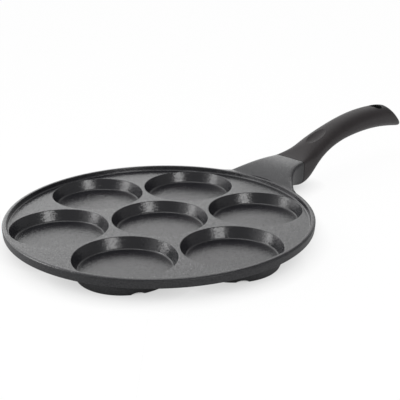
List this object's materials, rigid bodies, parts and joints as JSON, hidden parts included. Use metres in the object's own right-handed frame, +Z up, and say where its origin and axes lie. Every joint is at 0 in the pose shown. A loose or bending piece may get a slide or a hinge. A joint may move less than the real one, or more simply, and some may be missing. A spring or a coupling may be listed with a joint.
{
  "type": "pancake pan",
  "caption": "Round cast pan with shallow flat-floored cups in a rimmed plate, a flaring cast neck and a curved moulded grip with a thumb rest and a hanging hole.",
  "frame": {"origin": "on the stove, under the middle of the middle cup's base", "axes": "+X along the handle, away from the pan; +Y to the left, seen from the grip's end; +Z up"},
  "size_m": [0.4875, 0.267, 0.0582],
  "materials": {
    "coated_aluminium": "dark grey satin non-stick coating with fine sparkle",
    "soft_touch_grip": "matte soft-touch black",
    "zinc_plated_steel": "bright zinc plating"
  },
  "bodies": {
    "root": {"pan_casting": "coated_aluminium", "handle_grip": "soft_touch_grip", "handle_screw": "zinc_plated_steel", "spring_washer": "zinc_plated_steel", "plain_washer": "zinc_plated_steel"}
  },
  "joints": []
}
